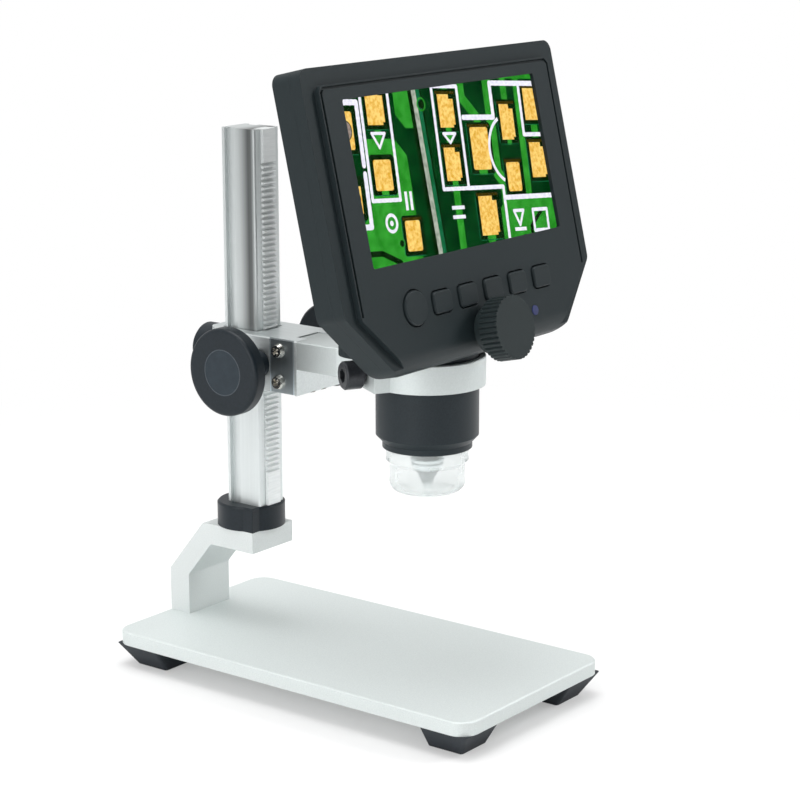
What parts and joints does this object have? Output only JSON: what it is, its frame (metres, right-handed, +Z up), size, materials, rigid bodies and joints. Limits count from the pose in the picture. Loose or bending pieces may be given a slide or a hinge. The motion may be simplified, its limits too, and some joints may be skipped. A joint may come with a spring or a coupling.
{
  "type": "lcd digital microscope",
  "caption": "Upright digital microscope: leaning LCD head with light ring and lens tube in a swivel ring on a rack-and-pinion column, gooseneck bracket and metal base plate.",
  "frame": {"origin": "on the surface the feet rest on, under the middle of the base plate", "axes": "+X to the right as seen from the front, -Y towards the front where the screen faces, +Z up"},
  "size_m": [0.1244, 0.143, 0.2034],
  "materials": {
    "anodised_silver": "satin anodised",
    "rack_steel": "machined",
    "nickel_screws": "nickel plated",
    "black_steel": "black oxide",
    "foot_rubber": "matte",
    "black_plastic": "satin",
    "dark_plate": "satin",
    "housing": "fine matte texture",
    "buttons": "satin",
    "screen_cover": "clear",
    "display": "lit picture",
    "circuit_board": "solder mask",
    "component_black": "moulded",
    "socket_steel": "plated",
    "battery_wrap": "foil",
    "indicator": "clear blue",
    "barrel_black": "satin black",
    "inner_black": "matte",
    "white_led": "clear",
    "clear_nose": "clear acrylic",
    "lens_glass": "coated",
    "brass_gear": "machined"
  },
  "bodies": {
    "stand": {"base_plate": "anodised_silver", "feet": "foot_rubber", "foot_screws": "nickel_screws", "bracket": "anodised_silver", "bracket_screws": "nickel_screws", "column_collar": "black_plastic", "column": "anodised_silver", "column_screw": "nickel_screws", "rack": "rack_steel", "rack_screws": "nickel_screws"},
    "carriage": {"carriage_block": "anodised_silver", "ring_arm": "anodised_silver", "arm_screws": "nickel_screws", "side_plate": "dark_plate", "side_plate_screws": "nickel_screws", "shaft_bushes": "brass_gear", "lock_pad": "brass_gear"},
    "pinion_shaft_set": {"pinion": "rack_steel", "pinion_shaft": "rack_steel", "right_focus_knob": "black_plastic", "left_focus_knob": "black_plastic", "knob_caps": "black_plastic", "knob_set_screws": "black_steel"},
    "lock_knob_set": {"lock_knob": "black_plastic", "lock_screw": "black_steel"},
    "clamp": {"clamp_screw": "black_steel"},
    "head": {"front_bezel": "housing", "rear_shell": "housing", "housing_screws": "nickel_screws", "screen_window": "screen_cover", "lcd_panel": "display", "main_board": "circuit_board", "board_screws": "nickel_screws", "tact_switches": "component_black", "battery": "battery_wrap", "usb_socket": "socket_steel", "card_socket": "socket_steel", "indicator_led": "indicator", "barrel": "barrel_black", "barrel_screws": "nickel_screws", "lens_guide": "inner_black", "led_board": "circuit_board", "leds": "white_led", "nose_cone": "clear_nose", "sensor_bracket": "inner_black", "sensor_board": "circuit_board", "image_sensor": "component_black"},
    "focus_wheel_set": {"focus_wheel": "black_plastic", "focus_shaft": "rack_steel", "focus_pinion": "brass_gear"},
    "lens_carrier": {"lens_tube": "inner_black", "front_lens": "lens_glass", "rear_lens": "lens_glass"},
    "power_button_body": {"power_button": "buttons"},
    "menu_button_1_body": {"menu_button_1": "buttons"},
    "menu_button_2_body": {"menu_button_2": "buttons"},
    "menu_button_3_body": {"menu_button_3": "buttons"},
    "menu_button_4_body": {"menu_button_4": "buttons"},
    "menu_button_5_body": {"menu_button_5": "buttons"}
  },
  "joints": [
    {"name": "carriage_slide", "type": "slide", "parent": "stand", "child": "carriage", "axis": [0, 0, 1], "range_m": [-0.034, 0.058]},
    {"name": "pinion_spin", "type": "hinge", "parent": "carriage", "child": "pinion_shaft_set", "pos_m": [0, 0.02907, 0.10305], "axis": [1, 0, 0], "range_deg": [-800, 480]},
    {"name": "column_lock_turn", "type": "hinge", "parent": "carriage", "child": "lock_knob_set", "pos_m": [0, 0.0545, 0.10305], "axis": [0, 1, 0], "range_deg": [-90, 90]},
    {"name": "clamp_screw_turn", "type": "hinge", "parent": "carriage", "child": "clamp", "pos_m": [-0.02165, -0.017, 0.1074], "axis": [-0.866, 0.5, 0], "range_deg": [-90, 90]},
    {"name": "head_swivel", "type": "hinge", "parent": "carriage", "child": "head", "pos_m": [0, -0.0295, 0.107], "axis": [0, 0, 1], "range_deg": [-45, 45]},
    {"name": "focus_turn", "type": "hinge", "parent": "head", "child": "focus_wheel_set", "pos_m": [0, -0.05187, 0.12192], "axis": [0, 0.9736, -0.2284], "range_deg": [-56, 56]},
    {"name": "lens_slide", "type": "slide", "parent": "head", "child": "lens_carrier", "axis": [0, 0, 1], "range_m": [-0.003, 0.003]},
    {"name": "power_button_press", "type": "slide", "parent": "head", "child": "power_button_body", "axis": [0, 0.9736, -0.2284], "range_m": [0, 0.0004], "stiffness_N_per_m": 300, "springref_m": -0.0008},
    {"name": "menu_button_1_press", "type": "slide", "parent": "head", "child": "menu_button_1_body", "axis": [0, 0.9736, -0.2284], "range_m": [0, 0.0004], "stiffness_N_per_m": 300, "springref_m": -0.0008},
    {"name": "menu_button_2_press", "type": "slide", "parent": "head", "child": "menu_button_2_body", "axis": [0, 0.9736, -0.2284], "range_m": [0, 0.0004], "stiffness_N_per_m": 300, "springref_m": -0.0008},
    {"name": "menu_button_3_press", "type": "slide", "parent": "head", "child": "menu_button_3_body", "axis": [0, 0.9736, -0.2284], "range_m": [0, 0.0004], "stiffness_N_per_m": 300, "springref_m": -0.0008},
    {"name": "menu_button_4_press", "type": "slide", "parent": "head", "child": "menu_button_4_body", "axis": [0, 0.9736, -0.2284], "range_m": [0, 0.0004], "stiffness_N_per_m": 300, "springref_m": -0.0008},
    {"name": "menu_button_5_press", "type": "slide", "parent": "head", "child": "menu_button_5_body", "axis": [0, 0.9736, -0.2284], "range_m": [0, 0.0004], "stiffness_N_per_m": 300, "springref_m": -0.0008}
  ],
  "couplings": [
    {"joint": "pinion_spin", "follows": "carriage_slide", "rad_per_m": -227.27},
    {"joint": "focus_turn", "follows": "lens_slide", "rad_per_m": -324.53}
  ]
}
